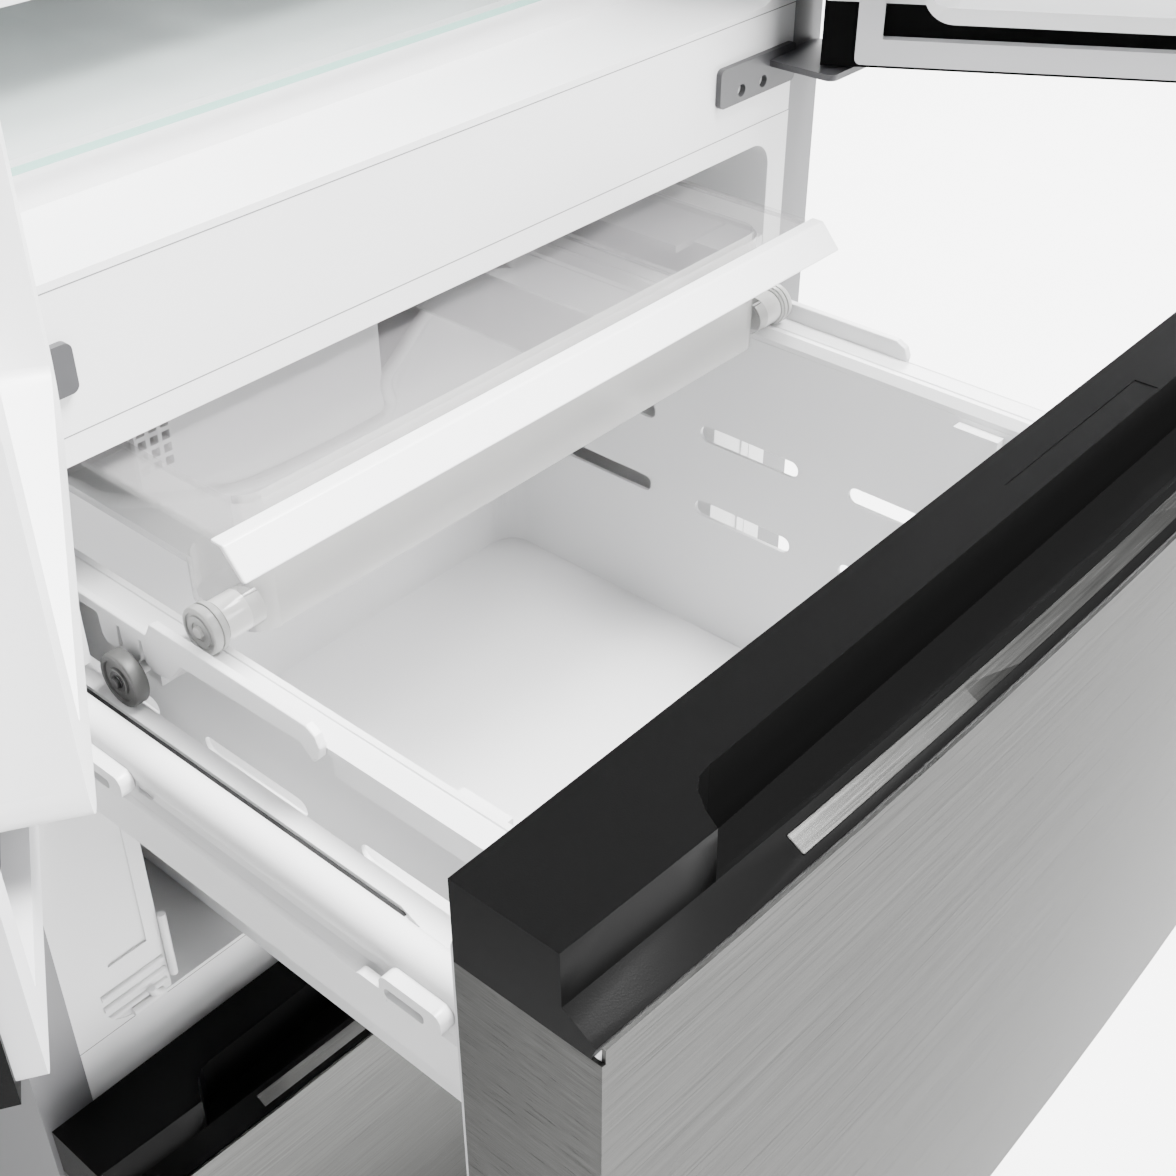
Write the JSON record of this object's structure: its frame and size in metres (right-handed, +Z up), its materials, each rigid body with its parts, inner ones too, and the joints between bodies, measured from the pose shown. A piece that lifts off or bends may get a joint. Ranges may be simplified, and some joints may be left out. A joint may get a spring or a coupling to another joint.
{
  "type": "fridge freezer",
  "caption": "Tall steel fridge freezer with side-hinged doors above, pull-out freezer drawers below and a sliding inner tray; doors and the upper drawer stand open.",
  "frame": {"origin": "centre of the standing object's footprint box on the floor, in the pictured pose with both doors open and the upper drawer pulled out", "axes": "+X to the right seen from the front, -Y out of the front, +Z up"},
  "size_m": [1.0738, 1.0197, 1.906],
  "materials": {
    "grey_sheet": "satin",
    "foam": "matte",
    "white_liner": "satin",
    "dark_metal": "satin",
    "compressor_black": "satin",
    "dark_plastic": "matte",
    "aluminium_fins": "satin",
    "shelf_glass": "gloss",
    "white_plastic": "satin",
    "clear_plastic": "gloss",
    "smoked_plastic": "gloss",
    "roller_grey": "satin",
    "brushed_steel": "satin",
    "black_plastic": "satin",
    "seal_grey": "matte",
    "zinc_steel": "satin"
  },
  "bodies": {
    "cabinet": {"cabinet_shell": "grey_sheet", "back_panels": "grey_sheet", "insulation": "foam", "fridge_liner": "white_liner", "upper_freezer_liner": "white_liner", "lower_freezer_liner": "white_liner", "mullion_covers": "white_liner", "base_frame": "dark_metal", "toe_grille": "dark_plastic", "levelling_feet": "dark_plastic", "compressor": "compressor_black", "condenser_unit": "dark_metal", "drip_tray": "dark_plastic", "power_inlet": "dark_plastic", "evaporator": "aluminium_fins", "duct_cover": "white_plastic", "glass_shelves": "shelf_glass", "shelf_trims": "white_plastic", "door_hinges": "dark_plastic", "fixed_rails": "zinc_steel", "rail_towers": "white_plastic"},
    "door_left": {"left_door_panel": "brushed_steel", "left_door_liner": "white_liner", "left_door_gasket": "seal_grey", "left_door_cap": "black_plastic", "left_door_bins": "clear_plastic"},
    "door_right": {"right_door_panel": "brushed_steel", "right_door_liner": "white_liner", "right_door_gasket": "seal_grey", "right_door_cap": "black_plastic", "right_door_bins": "clear_plastic"},
    "centre_flap": {"centre_flap": "white_plastic"},
    "upper_drawer": {"upper_front_panel": "brushed_steel", "upper_front_cap": "black_plastic", "upper_front_plate": "brushed_steel", "upper_front_liner": "white_liner", "upper_front_gasket": "seal_grey", "upper_basket": "white_plastic", "basket_flanges": "white_plastic", "upper_rail_covers": "white_plastic", "upper_rail_moving": "zinc_steel"},
    "upper_rail_mid": {"upper_rail_middle": "zinc_steel"},
    "basket_wheels": {"upper_wheels": "dark_plastic"},
    "tray": {"tray_body": "clear_plastic", "tray_lid": "smoked_plastic", "tray_flange": "white_plastic"},
    "tray_rollers": {"tray_rollers": "roller_grey"},
    "lower_drawer": {"lower_front_panel": "brushed_steel", "lower_front_cap": "black_plastic", "lower_front_plate": "brushed_steel", "lower_front_liner": "white_liner", "lower_front_gasket": "seal_grey", "lower_basket": "white_plastic", "lower_rail_covers": "white_plastic", "lower_rail_moving": "zinc_steel"},
    "lower_rail_mid": {"lower_rail_middle": "zinc_steel"},
    "crisper_left": {"crisper_left": "clear_plastic"},
    "crisper_right": {"crisper_right": "clear_plastic"},
    "rear_rollers": {"rear_rollers": "dark_plastic"},
    "fan": {"fan_blades": "dark_plastic"}
  },
  "joints": [
    {"name": "left_door_hinge", "type": "hinge", "parent": "cabinet", "child": "door_left", "pos_m": [-0.33, -0.12814, 1.4], "axis": [0, 0, -1], "range_deg": [-122, 8]},
    {"name": "right_door_hinge", "type": "hinge", "parent": "cabinet", "child": "door_right", "pos_m": [0.33, -0.12814, 1.4], "axis": [0, 0, 1], "range_deg": [-122, 8]},
    {"name": "flap_pivot", "type": "hinge", "parent": "door_right", "child": "centre_flap", "pos_m": [0.44912, -0.40746, 1.4], "axis": [0, 0, -1], "range_deg": [-90, 0]},
    {"name": "upper_drawer_slide", "type": "slide", "parent": "cabinet", "child": "upper_drawer", "axis": [0, -1, 0], "range_m": [-0.343, 0.127]},
    {"name": "upper_rail_slide", "type": "slide", "parent": "cabinet", "child": "upper_rail_mid", "axis": [0, -1, 0], "range_m": [-0.1715, 0.0635]},
    {"name": "tray_slide", "type": "slide", "parent": "cabinet", "child": "tray", "axis": [0, -1, 0], "range_m": [-0.143, 0.053]},
    {"name": "tray_roller_spin", "type": "hinge", "parent": "tray", "child": "tray_rollers", "pos_m": [0, -0.14914, 0.7796], "axis": [1, 0, 0], "continuous": true},
    {"name": "basket_wheel_spin", "type": "hinge", "parent": "upper_drawer", "child": "basket_wheels", "pos_m": [0, -0.10714, 0.7413], "axis": [1, 0, 0], "continuous": true},
    {"name": "lower_drawer_slide", "type": "slide", "parent": "cabinet", "child": "lower_drawer", "axis": [0, -1, 0], "range_m": [0, 0.345]},
    {"name": "lower_rail_slide", "type": "slide", "parent": "cabinet", "child": "lower_rail_mid", "axis": [0, -1, 0], "range_m": [0, 0.1725]},
    {"name": "left_crisper_slide", "type": "slide", "parent": "cabinet", "child": "crisper_left", "axis": [0, -1, 0], "range_m": [0, 0.2]},
    {"name": "right_crisper_slide", "type": "slide", "parent": "cabinet", "child": "crisper_right", "axis": [0, -1, 0], "range_m": [0, 0.2]},
    {"name": "rear_roller_spin", "type": "hinge", "parent": "cabinet", "child": "rear_rollers", "pos_m": [0, 0.46486, 0.02], "axis": [1, 0, 0], "continuous": true},
    {"name": "fan_spin", "type": "hinge", "parent": "cabinet", "child": "fan", "pos_m": [-0.086, 0.42836, 0.132], "axis": [1, 0, 0], "continuous": true}
  ],
  "couplings": [
    {"joint": "upper_rail_slide", "follows": "upper_drawer_slide", "ratio": 0.5},
    {"joint": "tray_slide", "follows": "upper_drawer_slide", "ratio": 0.4169},
    {"joint": "lower_rail_slide", "follows": "lower_drawer_slide", "ratio": 0.5}
  ]
}
